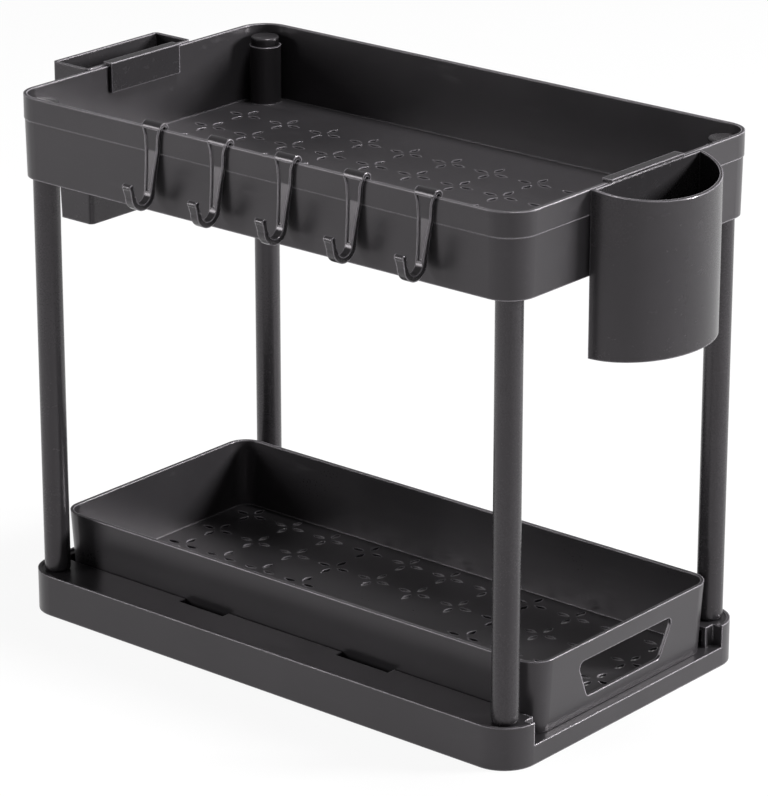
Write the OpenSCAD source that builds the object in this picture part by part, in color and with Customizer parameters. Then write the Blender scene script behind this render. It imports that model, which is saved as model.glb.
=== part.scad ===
// Two-tier under sink organizer: a base with a pull-out drawer, an upper tray on four posts,
// a hanging cup, a hanging box and five hooks.
// Origin at the centre of the base's underside, +Z up, +X towards the drawer's handle end,
// -Y towards the side that carries the hooks.

/* [Upper tray] */
// Height of the rim above the surface that the organizer stands on
total_height = 337; // [300:1:380]
// Length of the tray over its rim
tray_length = 390; // [375:1:440]
// Width of the tray over its rim
tray_width = 229.4; // [222:0.2:280]
// Depth from the rim to the lower edge of the wall
tray_depth = 51.7; // [46:0.1:70]
// Corner radius of the rim in plan
tray_corner_r = 19; // [18:0.5:22]
// Thickness of the wall at the rim
tray_wall = 2.3; // [2:0.1:2.6]
// Height of the band under the rim
band_height = 15; // [10:0.5:20]
// How far the band stands out at the two ends
band_proud = 0.8; // [0.4:0.1:1.2]
// Thickness of the tray's floor
tray_floor = 2.3; // [1.6:0.1:3.5]
// Height of the skirt under the floor
tray_skirt = 1; // [0.6:0.1:2]
// Draft of each wall over the tray's depth
tray_draft = 0.6; // [0.3:0.1:0.9]

/* [Posts] */
// Diameter of a post
post_d = 16.4; // [15:0.1:17.5]
// Thickness of a post's tube
post_wall = 2; // [1.2:0.1:2.5]
// Distance from the tray's end to a post's axis
post_inset_x = 14.7; // [14.4:0.1:15.4]
// Distance from the tray's side to a post's axis
post_inset_y = 14; // [13.8:0.1:14.6]
// Diameter of the spigot that plugs into the base
spigot_d = 11; // [9:0.5:12]
// Length of that spigot
spigot_length = 18; // [12:1:22]
// Radius of the rounded lower edge of a post
post_foot_r = 2; // [1:0.1:2.4]
// Outer diameter of the tray's corner columns
column_d = 20.3; // [19.8:0.1:20.8]
// Distance from the rim down to the top of a column
column_drop = 10.8; // [9:0.1:14]
// Thickness of a column's top, which rests on the post
column_lid = 2; // [1.2:0.1:3]
// Diameter of a cap
cap_d = 18; // [17:0.1:19]
// Height of a cap above its column
cap_height = 5.6; // [4:0.1:7]
// Length of a cap's plug below the cap
plug_length = 14; // [8:1:20]

/* [Base] */
// How much further than the tray's end the base reaches
base_margin_x = 1; // [0:0.5:4]
// How much further than the tray's side the base reaches
base_margin_y = 0.9; // [0:0.1:4]
// Height of the base's rim
base_height = 26.7; // [25.6:0.1:34]
// Corner radius of the base in plan
base_corner_r = 22; // [20:0.5:24]
// Thickness of the base's outer wall
base_wall = 2; // [1.6:0.1:2.6]
// How far the ledge lies below the rim
ledge_drop = 1; // [0.6:0.1:1.6]
// Thickness of the ledge
ledge_thickness = 2.4; // [1.8:0.1:3]
// Height of the platform and of the low lip at the open end
platform_height = 12.3; // [11:0.1:13]
// Thickness of the platform
platform_thickness = 2.4; // [1.8:0.1:3.5]
// Length of the front notch in the ledge
notch_front_length = 41; // [38:1:48]
// Length of the rear notch in the ledge
notch_rear_length = 36.5; // [34:0.5:44]
// Place of the front notch's middle
notch_front_x = 63.5; // [55:0.5:72]
// Place of the rear notch's middle
notch_rear_x = -66.7; // [-74:0.1:-58]
// Thickness of the stop at the open end of each channel
stop_thickness = 3; // [2:0.5:5]
// Distance from the base's open end to the outer face of that stop
stop_inset = 7.1; // [6:0.1:10]

/* [Drawer] */
// Width of the drawer over its rim
drawer_width = 173.4; // [165:0.2:176]
// Height of the drawer's rim above its underside
drawer_height = 46.4; // [36:0.2:70]
// Corner radius of the drawer's rim in plan
drawer_corner_r = 14.7; // [12:0.1:18]
// Draft of each wall over the drawer's height
drawer_draft = 3; // [2:0.1:4]
// Thickness of the drawer's wall
drawer_wall = 2.2; // [1.6:0.1:3]
// Thickness of the drawer's floor
drawer_floor = 2; // [1.6:0.1:3]
// Gap between the drawer's closed end and the base's rim
drawer_rear_gap = 3.7; // [2:0.1:6]
// Distance from the drawer's front rim back from the base's open end
drawer_front_gap = 3.2; // [2:0.1:5]
// Length of each side lug
lug_length = 30; // [20:1:32]
// Height of each side lug
lug_height = 6; // [3:0.5:7]
// Distance that the drawer is pulled out when its lugs reach the notches
lug_setback = 60; // [50:1:70]
// Width of the hand hole at its top
handle_top_width = 94; // [80:1:110]
// Width of the hand hole at its bottom
handle_bottom_width = 72; // [60:1:78]
// Height of the hand hole
handle_height = 25; // [20:0.5:27]
// Distance from the drawer's rim down to the hand hole
handle_drop = 11.8; // [10:0.1:16]
// Corner radius of the hand hole
handle_r = 4; // [2:0.5:6]

/* [Floor flowers] */
// Distance between flowers along the floor
flower_pitch_x = 33.5; // [30:0.1:36]
// Distance between flowers across the floor
flower_pitch_y = 33.3; // [31:0.1:35]
// Columns of flowers on each side of the middle one
flower_columns = 5; // [3:1:5]
// Rows of flowers on each side of the middle one in the upper tray
flower_rows = 2; // [1:1:2]
// Columns on each side of the middle one that have no flower in the middle row
blank_columns = 1; // [0:1:2]
// Distance from a flower's centre to the inner end of a petal
petal_start = 3.1; // [2.6:0.1:4]
// Length of a petal
petal_length = 9.2; // [6:0.1:10]
// Width of a petal
petal_width = 3.8; // [2:0.1:4.4]

/* [Hanging cup] */
// Half of the cup's width
cup_half_width = 51.5; // [44:0.5:58]
// Depth of the cup from the tray's end
cup_depth = 39.5; // [34:0.5:44]
// Height of the cup
cup_height = 100; // [80:1:120]
// Place of the cup's middle across the tray
cup_y = 4; // [-10:0.5:10]
// Thickness of the cup's wall
cup_wall = 2; // [1.6:0.1:3]
// Fall of the cup's rim for each millimetre away from the tray
cup_rim_slope = 0.19; // [0:0.01:0.3]
// Width of the cup's clip
cup_clip_width = 69; // [50:1:80]

/* [Hanging box] */
// Width of the box
box_width = 94; // [80:1:110]
// Depth of the box at its top
box_depth = 30.7; // [24:0.1:40]
// Height of the box
box_height = 100.5; // [80:0.5:120]
// How far the box's outer face slopes in over its height
box_taper = 5; // [0:0.5:8]
// Thickness of the box's wall
box_wall = 2; // [1.6:0.1:3]
// Corner radius of the box in plan
box_corner_r = 3; // [2.5:0.1:6]
// Width of the box's clip
box_clip_width = 62; // [40:1:80]

/* [Clips] */
// Thickness of a clip
clip_thickness = 1.8; // [1.4:0.1:2.4]
// How far a clip reaches down inside the tray
clip_drop = 17; // [10:1:24]

/* [Hooks] */
// Place of the middle hook along the tray
hook_middle_x = 28; // [10:1:40]
// Distance between neighbouring hooks
hook_pitch = 52; // [40:1:60]
// Width of a hook at its crown
hook_top_width = 14.6; // [11:0.2:18]
// Width of a hook at its curl
hook_tip_width = 5.6; // [4:0.2:8]
// Thickness of a hook's strap
hook_strap = 2.2; // [1.6:0.1:2.8]
// Thickness of a hook's curl
hook_curl = 3.6; // [3:0.1:4.4]
// Inner radius of a hook's curl
hook_curl_r = 6.4; // [5:0.1:8]
// Distance from the rim down to the curl's centre
hook_reach = 37; // [32:0.5:44]
// Depth of the groove in a hook's strap
hook_groove = 0.8; // [0.4:0.1:1]

/* [Clearances] */
// Gap between a piece that lifts off or slides and what carries it
seat_gap = 0.3; // [0.2:0.05:0.4]
// Radial clearance of plugs and spigots
fit_gap = 0.05; // [0.03:0.01:0.1]
// Gap between the drawer and the edge of the ledge
ledge_gap = 0.8; // [0.5:0.1:1.2]
// Gap around a drawer lug in its notch and channel
lug_gap = 0.6; // [0.4:0.1:0.8]

/* [Hidden] */
$fn = 64;
charcoal = [0.16, 0.155, 0.16];
// Overlap of pieces of one solid, and overshoot of its cutters
sink = 0.05;
overshoot = 1;

post_r = post_d / 2;
post_x = tray_length / 2 - post_inset_x;
post_y = tray_width / 2 - post_inset_y;
post_bore_r = post_r - post_wall;
tray_bottom = total_height - tray_depth;
tray_floor_top = tray_bottom + tray_skirt + tray_floor;
band_bottom = total_height - band_height;
tray_inner_r = tray_corner_r - tray_wall;
column_top = total_height - column_drop;
post_top = column_top - column_lid;

base_x = tray_length / 2 + base_margin_x;
base_y = tray_width / 2 + base_margin_y;
ledge_top = base_height - ledge_drop;
ledge_bottom = ledge_top - ledge_thickness;
boss_r = spigot_d / 2 + fit_gap + 2.8;

drawer_bottom = platform_height + seat_gap;
drawer_top = drawer_bottom + drawer_height;
drawer_inner_r = drawer_corner_r - drawer_wall;
drawer_rear = -base_x + base_wall + drawer_rear_gap;
drawer_front = base_x - drawer_front_gap;
drawer_middle = (drawer_rear + drawer_front) / 2;
drawer_half_length = (drawer_front - drawer_rear) / 2;
// Half width of the drawer at a height above the ground
function drawer_half_width(z) =
    drawer_width / 2 - drawer_draft * (drawer_top - z) / drawer_height;
ledge_edge = drawer_half_width(ledge_top) + ledge_gap;
lug_reach = ledge_edge + 5;
notch_edge = lug_reach + lug_gap;
channel_edge = notch_edge + 1.7;
lug_bottom = drawer_bottom + 2.4;
lug_front_x = notch_front_x - lug_setback;
lug_rear_x = notch_rear_x - lug_setback;

cup_back = tray_length / 2 + seat_gap;
cup_bottom = total_height - cup_height;
clip_outer = tray_wall + 0.6;
clip_top = total_height + seat_gap + clip_thickness;
box_back = -tray_length / 2 - seat_gap;

hook_back = -tray_width / 2 - seat_gap;
hook_inner = -tray_width / 2 + tray_wall + 0.5;
hook_crown_r = (hook_inner - hook_back) / 2;
hook_crown_y = (hook_inner + hook_back) / 2;
hook_crown_z = total_height + seat_gap;
hook_curl_z = total_height - hook_reach;
hook_curl_y = hook_back - 2.4 - hook_curl - hook_curl_r;

// Rectangle with round corners, given by the centres of its corners
module corner_plate(x, y, r, h) {
    linear_extrude(h) {
        square([2 * x, 2 * (y + r)], center = true);
        square([2 * (x + r), 2 * y], center = true);
        for (sx = [-1, 1], sy = [-1, 1])
            translate([sx * x, sy * y]) circle(r);
    }
}

// The same plate with a draft: its corner radius grows from r_low to r_high
module drafted_plate(x, y, r_low, r_high, h) {
    for (sx = [-1, 1], sy = [-1, 1])
        translate([sx * x, sy * y]) cylinder(h, r_low, r_high);
    rotate([90, 0, 0]) linear_extrude(2 * y, center = true)
        polygon([[-x - r_low, 0], [x + r_low, 0], [x + r_high, h], [-x - r_high, h]]);
    rotate([90, 0, 90]) linear_extrude(2 * x, center = true)
        polygon([[-y - r_low, 0], [y + r_low, 0], [y + r_high, h], [-y - r_high, h]]);
}

// Lens-shaped petal that points along +X
module petal() {
    steps = 4;
    upper = [for (i = [0:steps]) [i / steps, sin(180 * i / steps)]];
    lower = [for (i = [1:steps - 1]) [1 - i / steps, -sin(180 * i / steps)]];
    polygon([for (p = concat(upper, lower))
        [petal_start + petal_length * p[0], petal_width / 2 * p[1]]]);
}

module flower() {
    for (turn = [0:90:270]) rotate(turn) petal();
}

// Grid of flowers, without the middle ones of the middle row
module flower_grid() {
    for (column = [-flower_columns:flower_columns], row = [-flower_rows:flower_rows])
        if (row != 0 || abs(column) > blank_columns)
            translate([column * flower_pitch_x, row * flower_pitch_y]) flower();
}

module flower_cuts(bottom, thickness) {
    translate([0, 0, bottom - overshoot])
        linear_extrude(thickness + 2 * overshoot) flower_grid();
}

// Puts its children at the place of one post
module at_post(sx, sy) {
    translate([sx * post_x, sy * post_y, 0]) children();
}

module at_posts() {
    for (sx = [-1, 1], sy = [-1, 1]) at_post(sx, sy) children();
}

module upper_tray() {
    corner_x = tray_length / 2 - tray_corner_r;
    corner_y = tray_width / 2 - tray_corner_r;
    skin_r = tray_corner_r - band_proud + 0.3;
    color(charcoal) difference() {
        union() {
            difference() {
                union() {
                    translate([0, 0, band_bottom])
                        corner_plate(corner_x, corner_y, tray_corner_r, band_height);
                    translate([0, 0, tray_bottom])
                        drafted_plate(corner_x - 0.3, corner_y + 0.3, skin_r - tray_draft, skin_r,
                                      tray_depth - band_height + sink);
                }
                translate([0, 0, tray_floor_top])
                    drafted_plate(corner_x, corner_y, tray_inner_r - tray_draft, tray_inner_r,
                                  total_height - tray_floor_top + sink);
                translate([0, 0, tray_bottom - overshoot])
                    corner_plate(corner_x, corner_y, tray_inner_r - tray_draft,
                                 tray_skirt + overshoot);
            }
            at_posts() translate([0, 0, tray_bottom]) cylinder(column_top - tray_bottom, d = column_d);
        }
        at_posts() {
            translate([0, 0, tray_bottom - overshoot])
                cylinder(post_top - tray_bottom + overshoot, r = post_r + fit_gap);
            cylinder(column_top + overshoot, r = post_bore_r);
        }
        flower_cuts(tray_bottom + tray_skirt, tray_floor);
    }
}

// Tube with a rounded lower edge, a spigot for the base and an open top
module post() {
    spigot_r = spigot_d / 2;
    floor_z = ledge_top + 2 * post_foot_r;
    color(charcoal) rotate_extrude() {
        difference() {
            union() {
                translate([0, ledge_top - spigot_length])
                    square([spigot_r, spigot_length + post_foot_r]);
                translate([0, ledge_top]) square([post_r - post_foot_r, post_foot_r + sink]);
                intersection() {
                    translate([post_r - post_foot_r, ledge_top + post_foot_r]) circle(post_foot_r);
                    translate([0, ledge_top]) square([post_r, post_foot_r]);
                }
                translate([0, ledge_top + post_foot_r])
                    square([post_r, post_top - ledge_top - post_foot_r]);
            }
            translate([-overshoot, floor_z])
                square([post_bore_r + overshoot, post_top - floor_z + overshoot]);
        }
    }
}

// Cap that covers a column and plugs into the post below it
module cap() {
    edge_r = 1.2;
    color(charcoal) {
        translate([0, 0, column_top]) rotate_extrude() {
            square([cap_d / 2, cap_height - edge_r]);
            square([cap_d / 2 - edge_r, cap_height]);
            translate([cap_d / 2 - edge_r, cap_height - edge_r]) intersection() {
                circle(edge_r);
                square(edge_r);
            }
        }
        translate([0, 0, column_top - plug_length])
            cylinder(plug_length + sink, r = post_bore_r - fit_gap);
    }
}

// Open windows of the platform between its cross plates
module platform_windows() {
    rear_end = drawer_rear + 40;
    front_end = drawer_front - 22;
    edge = ledge_edge - 7;
    spine = 15;
    notch_rear = [notch_rear_x - notch_rear_length / 2, notch_rear_x + notch_rear_length / 2];
    notch_front = [notch_front_x - notch_front_length / 2, notch_front_x + notch_front_length / 2];
    translate([rear_end, -edge]) square([notch_rear[0] - rear_end, 2 * edge]);
    translate([notch_front[1], -edge]) square([front_end - notch_front[1], 2 * edge]);
    for (side = [-1, 1])
        translate([notch_rear[1], side > 0 ? spine : -edge])
            square([notch_front[0] - notch_rear[1], edge - spine]);
}

module base() {
    corner_x = base_x - base_corner_r;
    corner_y = base_y - base_corner_r;
    rear = -base_x + 5.4;
    stop_front = base_x - stop_inset;
    channel_wall = 2;
    rib = 2;
    color(charcoal) difference() {
        union() {
            // Outer wall
            difference() {
                corner_plate(corner_x, corner_y, base_corner_r, base_height);
                translate([0, 0, -overshoot])
                    corner_plate(corner_x, corner_y, base_corner_r - base_wall,
                                 base_height + 2 * overshoot);
            }
            // Ledge
            translate([0, 0, ledge_bottom]) difference() {
                corner_plate(corner_x, corner_y, base_corner_r - base_wall + sink, ledge_thickness);
                translate([rear, -ledge_edge, -overshoot])
                    cube([2 * base_x, 2 * ledge_edge, ledge_thickness + 2 * overshoot]);
            }
            // Platform
            translate([0, 0, platform_height - platform_thickness]) intersection() {
                corner_plate(corner_x, corner_y, base_corner_r - base_wall + sink,
                             platform_thickness);
                translate([rear - channel_wall, -channel_edge - channel_wall, -overshoot])
                    cube([2 * base_x, 2 * (channel_edge + channel_wall), platform_thickness + 2]);
            }
            // Channel walls beside the drawer
            for (side = [-1, 1])
                translate([rear - channel_wall, side > 0 ? channel_edge : -channel_edge - channel_wall, 0])
                    cube([base_x - rear, channel_wall, ledge_bottom + sink]);
            // Wall behind the drawer
            translate([rear - channel_wall, -channel_edge - channel_wall, 0])
                cube([channel_wall, 2 * (channel_edge + channel_wall), ledge_bottom + sink]);
            // Stops at the open end of the channels
            for (side = [-1, 1])
                translate([stop_front - stop_thickness,
                           side > 0 ? ledge_edge : -channel_edge - sink, platform_height - sink])
                    cube([stop_thickness, channel_edge - ledge_edge + sink,
                          ledge_top - platform_height + sink]);
            // Ribs under the platform and the spine that the middle stands on
            for (x = [notch_rear_x, notch_front_x])
                translate([x - rib / 2, -channel_edge - sink, 0])
                    cube([rib, 2 * (channel_edge + sink), platform_height - platform_thickness + sink]);
            translate([notch_rear_x, -3 * rib, 0])
                cube([notch_front_x - notch_rear_x, 6 * rib,
                      platform_height - platform_thickness + sink]);
            // Bosses for the posts
            at_posts() cylinder(ledge_top, r = boss_r);
        }
        // Opening over the lip at the drawer's end
        translate([base_x - stop_inset, -channel_edge, platform_height])
            cube([stop_inset + overshoot, 2 * channel_edge, base_height]);
        // Notches that let the drawer's lugs in
        for (x = [[notch_rear_x, notch_rear_length], [notch_front_x, notch_front_length]])
            translate([x[0] - x[1] / 2, -notch_edge, ledge_bottom - overshoot])
                cube([x[1], 2 * notch_edge, base_height]);
        translate([0, 0, platform_height - platform_thickness - overshoot])
            linear_extrude(platform_thickness + 2 * overshoot) platform_windows();
        at_posts() translate([0, 0, ledge_top - spigot_length - overshoot])
            cylinder(spigot_length + 2 * overshoot, r = spigot_d / 2 + fit_gap);
    }
}

// Hand hole: a trapezium with round corners, in the drawer's end wall
module handle_outline() {
    top = handle_top_width / 2;
    bottom = handle_bottom_width / 2;
    h = handle_height;
    hull() {
        for (side = [-1, 1]) {
            translate([side * (top - handle_r * 1.5), h - handle_r]) circle(handle_r, $fn = 32);
            translate([side * (bottom - handle_r * 0.7), handle_r]) circle(handle_r, $fn = 32);
        }
    }
}

module drawer() {
    corner_x = drawer_half_length - drawer_corner_r;
    corner_y = drawer_width / 2 - drawer_corner_r;
    low_r = drawer_corner_r - drawer_draft;
    color(charcoal) difference() {
        union() {
            translate([drawer_middle, 0, drawer_bottom])
                drafted_plate(corner_x, corner_y, low_r, drawer_corner_r, drawer_height);
            // Lugs that run in the base's channels
            for (x = [lug_rear_x, lug_front_x], side = [-1, 1])
                translate([x - lug_length / 2, side > 0 ? 0 : -lug_reach, lug_bottom])
                    cube([lug_length, lug_reach, lug_height]);
        }
        translate([drawer_middle, 0, drawer_bottom + drawer_floor])
            drafted_plate(corner_x, corner_y, low_r - drawer_wall, drawer_inner_r,
                          drawer_height - drawer_floor + sink);
        translate([drawer_middle, 0, 0]) flower_cuts(drawer_bottom, drawer_floor);
        translate([drawer_front - 4 * drawer_wall, 0, drawer_top - handle_drop - handle_height])
            rotate([90, 0, 90]) linear_extrude(8 * drawer_wall) handle_outline();
    }
}

// Half an ellipse whose flat side lies on the Y axis, drawn inwards by inset
module cup_outline(inset) {
    steps = 120;
    intersection() {
        polygon([for (i = [0:steps])
            [(cup_depth - inset) * cos(180 * i / steps - 90),
             (cup_half_width - inset) * sin(180 * i / steps - 90)]]);
        translate([inset, -cup_half_width]) square([cup_depth, 2 * cup_half_width]);
    }
}

// Hook-shaped band that goes over the tray's rim at the +X end
module clip(width) {
    inner = tray_length / 2 - clip_outer;
    bottom = total_height - clip_drop;
    translate([inner - clip_thickness, -width / 2, total_height + seat_gap])
        cube([cup_back + clip_thickness - inner + clip_thickness, width, clip_thickness]);
    translate([inner - clip_thickness, -width / 2, bottom])
        cube([clip_thickness, width, clip_top - bottom]);
}

module hanging_cup() {
    color(charcoal) translate([0, cup_y, 0]) {
        difference() {
            translate([cup_back, 0, cup_bottom]) linear_extrude(cup_height) cup_outline(0);
            translate([cup_back, 0, cup_bottom + cup_wall])
                linear_extrude(cup_height) cup_outline(cup_wall);
            // Slanted rim
            translate([cup_back + cup_wall, 0, 0]) rotate([90, 0, 0])
                linear_extrude(4 * cup_half_width, center = true)
                    polygon([[0, total_height], [cup_depth, total_height - cup_rim_slope * cup_depth],
                             [cup_depth, total_height + overshoot], [0, total_height + overshoot]]);
        }
        clip(cup_clip_width);
        translate([cup_back, -cup_clip_width / 2, total_height - 2 * clip_thickness])
            cube([clip_thickness, cup_clip_width, 2 * clip_thickness + seat_gap + sink]);
    }
}

// Side view of the box, from its back towards its sloping face
module box_profile(inset) {
    low = inset;
    back = box_depth - inset;
    slope_out = inset;
    polygon([[back, low], [back, box_height + (inset > 0 ? overshoot : 0)],
             [slope_out, box_height + (inset > 0 ? overshoot : 0)],
             [slope_out + box_taper * (1 - low / box_height), low]]);
}

module box_body(inset) {
    intersection() {
        rotate([90, 0, 0]) linear_extrude(box_width - 2 * inset, center = true) box_profile(inset);
        translate([box_depth / 2, 0, -overshoot])
            corner_plate(box_depth / 2 - box_corner_r, box_width / 2 - box_corner_r,
                         box_corner_r - inset, box_height + 3 * overshoot);
    }
}

module hanging_box() {
    color(charcoal) {
        translate([box_back - box_depth, 0, total_height + 0.5 - box_height]) difference() {
            box_body(0);
            box_body(box_wall);
        }
        mirror([1, 0, 0]) {
            clip(box_clip_width);
            translate([cup_back, -box_clip_width / 2, total_height - 2 * clip_thickness])
                cube([clip_thickness, box_clip_width, 2 * clip_thickness + seat_gap + sink]);
        }
    }
}

// Side view of a hook, across the rim: horizontal is Y, vertical is Z
module hook_side() {
    ring_y = hook_curl_y;
    knee = total_height - 15;
    difference() {
        translate([hook_crown_y, hook_crown_z]) circle(hook_crown_r + hook_strap);
        translate([hook_crown_y, hook_crown_z]) circle(hook_crown_r);
        translate([hook_crown_y - 20, hook_crown_z - 40]) square([40, 40]);
    }
    translate([hook_inner, total_height - 12]) square([hook_strap, 12 + seat_gap + sink]);
    translate([hook_back - hook_strap, knee]) square([hook_strap, 15 + seat_gap + sink]);
    polygon([[hook_back, knee + 2], [hook_back - hook_strap, knee + 2],
             [ring_y + hook_curl_r, hook_curl_z - sink],
             [ring_y + hook_curl_r + hook_curl, hook_curl_z - sink]]);
    difference() {
        translate([ring_y, hook_curl_z]) circle(hook_curl_r + hook_curl);
        translate([ring_y, hook_curl_z]) circle(hook_curl_r);
        translate([ring_y - 20, hook_curl_z]) square([40, 40]);
    }
    tip = [ring_y - hook_curl_r - hook_curl / 2 - 2, hook_curl_z + 6];
    tip_half = 0.44 * hook_curl;
    tip_root = hook_curl_z - 1.2;
    polygon([[ring_y - hook_curl_r - hook_curl + 0.2, tip_root],
             [ring_y - hook_curl_r - 0.2, tip_root],
             [tip[0] + tip_half, tip[1] - 0.4], [tip[0] - tip_half, tip[1] + 0.4]]);
    translate(tip) circle(hook_curl / 2);
}

// Front view of a hook's strap, from its crown to its curl, drawn inwards by inset
module hook_front(inset) {
    top = hook_top_width / 2 - inset;
    tip = hook_tip_width / 2 - inset;
    waist = (top + 2 * tip) / 3 + 0.7;
    z = total_height;
    right = [[top, z + 8], [top, z + 1], [(2 * top + tip) / 3 - 0.2, z - 4], [waist, z - 13],
             [tip + 0.9, z - 25], [tip, z - hook_reach], [tip, z - hook_reach - 15]];
    polygon(concat(right, [for (i = [len(right) - 1:-1:0]) [-right[i][0], right[i][1]]]));
}

module hook(number) {
    color(charcoal) translate([hook_middle_x + (number - 3) * hook_pitch, 0, 0]) difference() {
        intersection() {
            rotate([90, 0, 90]) linear_extrude(hook_top_width, center = true) hook_side();
            rotate([90, 0, 0]) linear_extrude(2 * tray_width, center = true) hook_front(0);
        }
        // Groove down the front of the strap
        intersection() {
            rotate([90, 0, 90]) linear_extrude(hook_top_width, center = true) {
                front = hook_back - hook_strap;
                low = hook_curl_y + hook_curl_r;
                polygon([[front - 1, total_height], [front + hook_groove, total_height],
                         [front + hook_groove, total_height - 13], [low + hook_groove, hook_curl_z],
                         [low - 2, hook_curl_z], [front - 1, total_height - 13]]);
            }
            rotate([90, 0, 0]) linear_extrude(2 * tray_width, center = true) hook_front(1.4);
        }
    }
}

base();
drawer();
upper_tray();
at_post(-1, -1) post();  // post_front_left
at_post(1, -1) post();  // post_front_right
at_post(-1, 1) post();  // post_back_left
at_post(1, 1) post();  // post_back_right
at_post(-1, -1) cap();  // cap_front_left
at_post(1, -1) cap();  // cap_front_right
at_post(-1, 1) cap();  // cap_back_left
at_post(1, 1) cap();  // cap_back_right
hanging_cup();
hanging_box();
hook(1);  // hook_1
hook(2);  // hook_2
hook(3);  // hook_3
hook(4);  // hook_4
hook(5);  // hook_5
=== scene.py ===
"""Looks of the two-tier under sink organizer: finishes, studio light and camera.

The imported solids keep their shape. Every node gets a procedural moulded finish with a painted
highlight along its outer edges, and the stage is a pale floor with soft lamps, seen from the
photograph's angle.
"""
from __future__ import annotations

import logging
import math
from dataclasses import dataclass, field
from enum import Enum
from typing import Any, Iterable

import bpy
from mathutils import Matrix, Vector

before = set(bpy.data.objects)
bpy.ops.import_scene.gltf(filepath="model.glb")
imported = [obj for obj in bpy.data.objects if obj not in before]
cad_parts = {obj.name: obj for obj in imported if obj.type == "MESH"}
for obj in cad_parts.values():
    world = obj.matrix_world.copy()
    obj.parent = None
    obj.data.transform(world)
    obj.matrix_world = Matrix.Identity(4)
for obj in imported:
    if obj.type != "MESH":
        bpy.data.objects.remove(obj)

LOG = logging.getLogger("organizer")
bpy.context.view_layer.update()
MILLIMETRE = 0.001
RIGHT_ANGLE = 90.0
WHITE = (1.0, 1.0, 1.0, 1.0)

CHARCOAL_TINT = (1.04, 0.98, 1.06)
GLOSS_TINT = (1.0, 0.94, 0.99, 1.0)
PLASTIC_IOR = 1.48


class Surface(Enum):
    """How a moulded piece leaves its tool."""

    TEXTURED = "textured"
    SMOOTH = "smooth"
    EXTRUDED = "extruded"


class Value:
    """Socket of a node tree that can be used in an arithmetic expression."""

    def __init__(self, shader: Shader, socket: Any) -> None:
        """Keeps the shader that owns the socket, and the socket."""
        self.shader = shader
        self.socket = socket

    def _math(self, operation: str, *operands: Any) -> Value:
        """Adds a Math node.

        Args:
            operation: The Math node's operation.
            operands: Values or numbers, in the order of the node's inputs.

        Returns:
            The node's result.
        """
        return self.shader.add("ShaderNodeMath", {"operation": operation}, dict(enumerate(operands)))

    def __add__(self, other: Any) -> Value:
        """Adds a value or a number."""
        return self._math("ADD", self, other)

    def __sub__(self, other: Any) -> Value:
        """Subtracts a value or a number."""
        return self._math("SUBTRACT", self, other)

    def __rsub__(self, other: float) -> Value:
        """Subtracts this value from a number."""
        return self._math("SUBTRACT", other, self)

    def __mul__(self, other: Any) -> Value:
        """Multiplies by a value or a number."""
        return self._math("MULTIPLY", self, other)

    __radd__ = __add__
    __rmul__ = __mul__

    def larger(self, other: Any) -> Value:
        """Takes the larger of this and another value."""
        return self._math("MAXIMUM", self, other)

    def clamped(self) -> Value:
        """Limits the value to the range from 0 to 1."""
        return self._math("MINIMUM", self.larger(0.0), 1.0)


class Shader:
    """Node tree of one material or of the world."""

    def __init__(self, tree: Any) -> None:
        """Empties the tree that it writes to."""
        self.tree = tree
        tree.nodes.clear()

    def add(self, kind: str, settings: dict[str, Any], inputs: dict[Any, Any],
            output: Any = 0) -> Value:
        """Adds one node.

        Args:
            kind: The node's type.
            settings: Properties that are set before the inputs.
            inputs: Input names or numbers, with a Value to link or a plain value.
            output: Name or number of the output that is returned.

        Returns:
            The chosen output, or an empty value for a node without outputs.
        """
        node = self.tree.nodes.new(kind)
        for name, value in settings.items():
            setattr(node, name, value)
        for name, value in inputs.items():
            if isinstance(value, Value):
                self.tree.links.new(value.socket, node.inputs[name])
            else:
                node.inputs[name].default_value = value
        return Value(self, node.outputs[output] if len(node.outputs) else None)

    def place(self) -> Value:
        """Gives the point's place in the part's own frame, in metres."""
        return self.add("ShaderNodeTexCoord", {}, {}, "Object")

    def noise(self, place: Value, size: float, detail: float = 2.0) -> Value:
        """Adds a noise.

        Args:
            place: The point's place.
            size: Size of one patch, in metres.
            detail: Number of finer layers.

        Returns:
            A value from 0 to 1.
        """
        return self.add("ShaderNodeTexNoise", {},
                        {"Vector": place, "Scale": 1.0 / size, "Detail": detail}, "Fac")

    def stretched(self, place: Value, factors: tuple[float, float, float]) -> Value:
        """Scales a place along each axis, for marks that run one way."""
        return self.add("ShaderNodeVectorMath", {"operation": "MULTIPLY"}, {0: place, 1: factors})

    def ramp(self, value: Value, limits: tuple[float, float]) -> Value:
        """Turns the range between two limits into 0 to 1."""
        low, high = limits
        return self.add("ShaderNodeMapRange", {"clamp": True},
                        {"Value": value, "From Min": low, "From Max": high})

    def mix(self, factor: Value, first: tuple[float, ...], second: tuple[float, ...]) -> Value:
        """Mixes two colours by a factor."""
        node = self.tree.nodes.new("ShaderNodeMix")
        node.data_type = "RGBA"
        colours = [socket for socket in node.inputs if socket.type == "RGBA"]
        self.tree.links.new(factor.socket, node.inputs[0])
        colours[0].default_value, colours[1].default_value = first, second
        return Value(self, next(socket for socket in node.outputs if socket.type == "RGBA"))


@dataclass(frozen=True)
class Strengths:
    """How far each kind of mark moves one property of the plastic."""

    clouds: float
    specks: float
    scuffs: float
    rubbed_and_sheen: float


# Colour: the edge mark lightens the charcoal up to the lightest colour. That is a painted highlight
# along the outer edges and partly wear. Clouds, specks and scuffs are the plastic's own tone.
LIGHTNESS = Strengths(clouds=0.030, specks=0.010, scuffs=0.012, rubbed_and_sheen=1.0)
DULLNESS = Strengths(clouds=0.10, specks=0.06, scuffs=0.07, rubbed_and_sheen=-0.15)
MEAN_DULLNESS = 0.08


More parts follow.
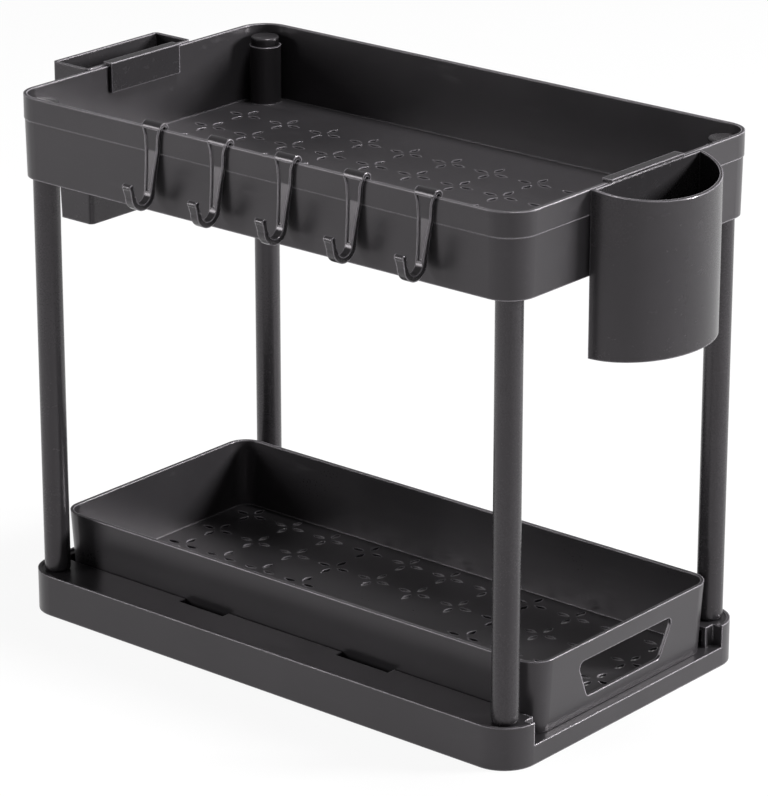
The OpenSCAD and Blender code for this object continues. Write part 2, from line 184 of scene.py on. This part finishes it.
@dataclass(frozen=True)
class Marks:
    """Marks of moulding and use on one surface, and a painted highlight along its outer edges, each a
    value from 0 to 1.
    """

    clouds: Value
    specks: Value
    scuffs: Value
    rubbed_and_sheen: Value

    def weighed(self, strengths: Strengths) -> Value:
        """Adds the marks up by their strengths."""
        return (self.clouds * strengths.clouds + self.specks * strengths.specks
                + self.scuffs * strengths.scuffs + self.rubbed_and_sheen * strengths.rubbed_and_sheen)


@dataclass(frozen=True)
class Moulding:
    """Charcoal plastic with the marks of its tool and of use, and a painted highlight along its outer
    edges.
    """

    name: str
    surface: Surface
    shade: float
    roughness: float
    # The colour runs from darkest to lightest times the shade. The light end is reached only by the
    # painted highlight along the outer edges.
    darkest: float = 0.75
    lightest: float = 20.0

    cloud_size: float = 60 * MILLIMETRE
    cloud_limits: tuple[float, float] = (0.3, 0.7)
    speck_size: float = 1.1 * MILLIMETRE
    scuff_size: float = 9 * MILLIMETRE
    scuff_run: tuple[float, float, float] = (0.35, 1.0, 1.6)
    scuff_limits: tuple[float, float] = (0.62, 0.78)

    edge: float = 1.4 * MILLIMETRE
    edge_samples: int = 6
    edge_limits: tuple[float, float] = (0.02, 0.14)
    hollow_samples: int = 4
    hollow_reach: float = 2.0
    hollow_limits: tuple[float, float] = (0.55, 0.85)
    # Strength of the edge mark, which is partly wear and partly a painted highlight. It also makes
    # the edges glossier.
    edge_wear_and_sheen: float = 0.9
    patchy_wear_and_sheen: float = 0.4

    grain: float = 0.45 * MILLIMETRE
    grain_depth: float = 0.006 * MILLIMETRE
    smooth_grain: float = 0.3
    wave_size: float = 14 * MILLIMETRE
    wave_height: float = 2.0
    line_width: float = 0.9 * MILLIMETRE
    line_run: tuple[float, float, float] = (1.0, 1.0, 0.02)

    def colour(self, factor: float) -> tuple[float, float, float, float]:
        """Gives the charcoal, lightened by a factor."""
        red, green, blue = (self.shade * factor * tint for tint in CHARCOAL_TINT)
        return (red, green, blue, 1.0)

    def edges(self, shader: Shader) -> tuple[Value, Value]:
        """Finds the rounded edges.

        Args:
            shader: The material's shader.

        Returns:
            The rounded normal, and a mask that is 1 along the outer edges.
        """
        rounded = shader.add("ShaderNodeBevel", {"samples": self.edge_samples}, {"Radius": self.edge})
        flat = shader.add("ShaderNodeNewGeometry", {}, {}, "Normal")
        along = shader.add("ShaderNodeVectorMath", {"operation": "DOT_PRODUCT"},
                           {0: rounded, 1: flat}, "Value")
        exposed = shader.add("ShaderNodeAmbientOcclusion",
                             {"samples": self.hollow_samples, "only_local": True},
                             {"Distance": self.edge * self.hollow_reach}, "AO")
        turned = shader.ramp(1.0 - along, self.edge_limits)
        return rounded, turned * shader.ramp(exposed, self.hollow_limits)

    def height(self, shader: Shader, place: Value) -> Value:
        """Gives the height of the surface's fine relief.

        Args:
            shader: The material's shader.
            place: The point's place.

        Returns:
            Lines along the tube, or a grain over slow waves.
        """
        if self.surface is Surface.EXTRUDED:
            return shader.noise(shader.stretched(place, self.line_run), self.line_width, 3.0)
        grain = shader.noise(place, self.grain, 3.0)
        wave = shader.noise(place, self.wave_size, 1.0)
        share = 1.0 if self.surface is Surface.TEXTURED else self.smooth_grain
        return grain * share + wave * self.wave_height

    def marks(self, shader: Shader, place: Value, edge_mask: Value) -> Marks:
        """Spreads the marks of moulding and use, and the painted highlight along the outer edges.

        Args:
            shader: The material's shader.
            place: The point's place.
            edge_mask: Value that is 1 along the outer edges.

        Returns:
            The marks of this surface.
        """
        clouds = shader.noise(place, self.cloud_size, 3.0)
        scratched = shader.noise(shader.stretched(place, self.scuff_run), self.scuff_size, 6.0)
        # The edge mark combines wear and a painted highlight, and the clouds make it patchy.
        wear_and_sheen_patches = shader.ramp(clouds, self.cloud_limits) * self.patchy_wear_and_sheen + (1.0 - self.patchy_wear_and_sheen)
        return Marks(clouds=clouds, specks=shader.noise(place, self.speck_size),
                     scuffs=shader.ramp(scratched, self.scuff_limits),
                     rubbed_and_sheen=edge_mask * wear_and_sheen_patches * self.edge_wear_and_sheen)

    def material(self) -> Any:
        """Builds the material.

        Returns:
            The Blender material.
        """
        material = bpy.data.materials.new(self.name)
        material.use_nodes = True
        shader = Shader(material.node_tree)
        place = shader.place()
        rounded, edge_mask = self.edges(shader)
        marks = self.marks(shader, place, edge_mask)
        # The tone carries the painted highlight along the outer edges.
        tone = marks.weighed(LIGHTNESS).clamped()
        dull = (marks.weighed(DULLNESS) - MEAN_DULLNESS + self.roughness).clamped()
        bump = shader.add("ShaderNodeBump", {},
                          {"Strength": 1.0, "Distance": self.grain_depth,
                           "Height": self.height(shader, place), "Normal": rounded})
        colour = shader.mix(tone, self.colour(self.darkest), self.colour(self.lightest))
        body = shader.add("ShaderNodeBsdfPrincipled", {},
                          {"Base Color": colour, "Roughness": dull, "Normal": bump,
                           "IOR": PLASTIC_IOR, "Specular Tint": GLOSS_TINT})
        shader.add("ShaderNodeOutputMaterial", {}, {"Surface": body})
        return material


TRAY_FINISH = Moulding("charcoal_textured", Surface.TEXTURED, shade=0.019, roughness=0.31)
DRAWER_FINISH = Moulding("charcoal_drawer", Surface.TEXTURED, shade=0.020, roughness=0.30)
TUBE_FINISH = Moulding("charcoal_tube", Surface.EXTRUDED, shade=0.018, roughness=0.27,
                       grain_depth=0.002 * MILLIMETRE)
HOOK_FINISH = Moulding("charcoal_hook", Surface.SMOOTH, shade=0.018, roughness=0.24,
                       grain_depth=0.003 * MILLIMETRE)
CUP_FINISH = Moulding("charcoal_cup", Surface.SMOOTH, shade=0.016, roughness=0.26,
                      grain_depth=0.003 * MILLIMETRE)


@dataclass
class Assembly:
    """Nodes that are moulded alike and make one sub-assembly."""

    title: str
    nodes: list[str]
    finish: Moulding

    def dress(self) -> None:
        """Gives each node its finish."""
        material = self.finish.material()
        for name in self.nodes:
            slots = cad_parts[name].data.materials
            if not slots:
                slots.append(material)
            for index in range(len(slots)):
                slots[index] = material
            LOG.info("%s: %s is dressed in %s", self.title, name, material.name)


@dataclass
class Rack(Assembly):
    """Base and upper tray, which the posts join."""

    title: str = "rack"
    nodes: list[str] = field(default_factory=lambda: ["base", "upper_tray"])
    finish: Moulding = TRAY_FINISH


@dataclass
class Posts(Assembly):
    """Four tubes between the base and the tray."""

    title: str = "posts"
    nodes: list[str] = field(default_factory=lambda: [
        f"post_{side}_{end}" for side in ("front", "back") for end in ("left", "right")])
    finish: Moulding = TUBE_FINISH


@dataclass
class Caps(Assembly):
    """Four caps that cover the posts inside the tray."""

    title: str = "caps"
    nodes: list[str] = field(default_factory=lambda: [
        f"cap_{side}_{end}" for side in ("front", "back") for end in ("left", "right")])
    finish: Moulding = CUP_FINISH


@dataclass
class Drawer(Assembly):
    """Pull-out drawer with its hand hole."""

    title: str = "drawer"
    nodes: list[str] = field(default_factory=lambda: ["drawer"])
    finish: Moulding = DRAWER_FINISH


@dataclass
class Hangers(Assembly):
    """Cup and box that hang on the tray's ends."""

    title: str = "hangers"
    nodes: list[str] = field(default_factory=lambda: ["hanging_cup", "hanging_box"])
    finish: Moulding = CUP_FINISH


@dataclass
class Hooks(Assembly):
    """Five hooks on the tray's long side."""

    title: str = "hooks"
    nodes: list[str] = field(default_factory=lambda: [f"hook_{number}" for number in range(1, 6)])
    finish: Moulding = HOOK_FINISH


@dataclass(frozen=True)
class Softbox:
    """Rectangular studio lamp that is aimed at a point. Sizes are in metres, power in watts."""

    name: str
    place: tuple[float, float, float]
    width: float
    height: float
    power: float
    aim: tuple[float, float, float] = (0.0, 0.0, 0.2)

    def build(self) -> None:
        """Adds the lamp."""
        lamp = bpy.data.lights.new(self.name, "AREA")
        lamp.shape = "RECTANGLE"
        lamp.size, lamp.size_y = self.width, self.height
        lamp.energy = self.power
        item = bpy.data.objects.new(self.name, lamp)
        item.location = self.place
        beam = Vector(self.aim) - Vector(self.place)
        item.rotation_euler = beam.to_track_quat("-Z", "Y").to_euler()
        bpy.context.scene.collection.objects.link(item)
        LOG.info("studio: lamp %s", self.name)


@dataclass
class Studio:
    """Pale floor, soft lamps and a white surround."""

    floor_size: float = 12.0
    paper: tuple[float, float] = (0.84, 0.88)
    paper_patch: float = 0.05
    floor_seen: float = 0.92
    ambient: float = 0.16
    reflected: float = 0.10
    softboxes: list[Softbox] = field(default_factory=lambda: [
        Softbox("key_left", place=(-1.5, -2.0, 0.7), width=0.6, height=0.8, power=26.0),
        Softbox("side_right", place=(1.75, 1.4, 1.0), width=0.5, height=0.6, power=100.0),
        Softbox("top", place=(0.15, 0.25, 1.8), width=0.5, height=0.4, power=34.0)])

    def white_share(self, shader: Shader, seen: float, reflected: float) -> Value:
        """Finds how much of the studio's white a ray meets.

        Args:
            shader: The shader that asks.
            seen: Share of the white that the camera sees.
            reflected: Share of the white that reflections and clear pieces see.

        Returns:
            The share that goes with the kind of ray, 0 for a ray that carries light.
        """
        camera, glossy, through = [shader.add("ShaderNodeLightPath", {}, {}, f"Is {kind} Ray")
                                   for kind in ("Camera", "Glossy", "Transmission")]
        return (camera * seen).larger(glossy.larger(through) * reflected)

    def paper_colours(self) -> list[tuple[float, float, float, float]]:
        """Gives the darker and the lighter grey of the floor's paper."""
        return [(grey, grey, grey, 1.0) for grey in self.paper]

    def floor(self) -> None:
        """Lays the floor, which is white but keeps a soft shadow."""
        half = self.floor_size / 2
        mesh = bpy.data.meshes.new("floor")
        corners = [(-half, -half, 0), (half, -half, 0), (half, half, 0), (-half, half, 0)]
        mesh.from_pydata(corners, [], [tuple(range(len(corners)))])
        item = bpy.data.objects.new("floor", mesh)
        bpy.context.scene.collection.objects.link(item)
        material = bpy.data.materials.new("floor_white")
        material.use_nodes = True
        shader = Shader(material.node_tree)
        paper = shader.mix(shader.noise(shader.place(), self.paper_patch), *self.paper_colours())
        matt = shader.add("ShaderNodeBsdfDiffuse", {}, {"Color": paper})
        white = shader.add("ShaderNodeEmission", {}, {"Color": WHITE, "Strength": 1.0})
        share = self.white_share(shader, self.floor_seen, 1.0)
        blend = shader.add("ShaderNodeMixShader", {}, {0: share, 1: matt, 2: white})
        shader.add("ShaderNodeOutputMaterial", {}, {"Surface": blend})
        mesh.materials.append(material)

    def surround(self) -> None:
        """Makes the world white to the camera, and much weaker as a light and in reflections."""
        world = bpy.data.worlds.new("surround")
        bpy.context.scene.world = world
        world.use_nodes = True
        shader = Shader(world.node_tree)
        soft = shader.add("ShaderNodeBackground", {}, {"Color": WHITE, "Strength": self.ambient})
        white = shader.add("ShaderNodeBackground", {}, {"Color": WHITE, "Strength": 1.0})
        share = self.white_share(shader, 1.0, self.reflected)
        blend = shader.add("ShaderNodeMixShader", {}, {0: share, 1: soft, 2: white})
        shader.add("ShaderNodeOutputWorld", {}, {"Surface": blend})

    def build(self) -> None:
        """Builds the floor, the surround and the lamps."""
        self.floor()
        self.surround()
        for softbox in self.softboxes:
            softbox.build()


@dataclass(frozen=True)
class PhotoCamera:
    """Camera at the photograph's viewpoint, solved from its straight edges."""

    place: tuple[float, float, float] = (1.48803, -1.76262, 0.99124)
    azimuth: float = 40.09
    elevation: float = 19.94
    focal_pixels: float = 4009.44
    photo_height: int = 796
    sensor: float = 36.0
    farthest: float = 50.0

    def build(self) -> None:
        """Adds the camera and makes it the scene's own."""
        data = bpy.data.cameras.new("camera")
        data.sensor_fit = "AUTO"
        data.sensor_width = self.sensor
        data.lens = self.focal_pixels * self.sensor / self.photo_height
        data.clip_end = self.farthest
        item = bpy.data.objects.new("camera", data)
        turn = Matrix.Rotation(math.radians(self.azimuth), 4, "Z")
        tilt = Matrix.Rotation(math.radians(RIGHT_ANGLE - self.elevation), 4, "X")
        item.matrix_world = Matrix.Translation(self.place) @ turn @ tilt
        bpy.context.scene.collection.objects.link(item)
        bpy.context.scene.camera = item


def main() -> None:
    """Dresses every sub-assembly and builds the studio and the camera."""
    logging.basicConfig(level=logging.INFO, format="%(message)s")
    bpy.context.scene.view_settings.view_transform = "Standard"
    PhotoCamera().build()
    Studio().build()
    for assembly in (Rack(), Posts(), Caps(), Drawer(), Hangers(), Hooks()):
        assembly.dress()


if __name__ == "__main__":
    main()
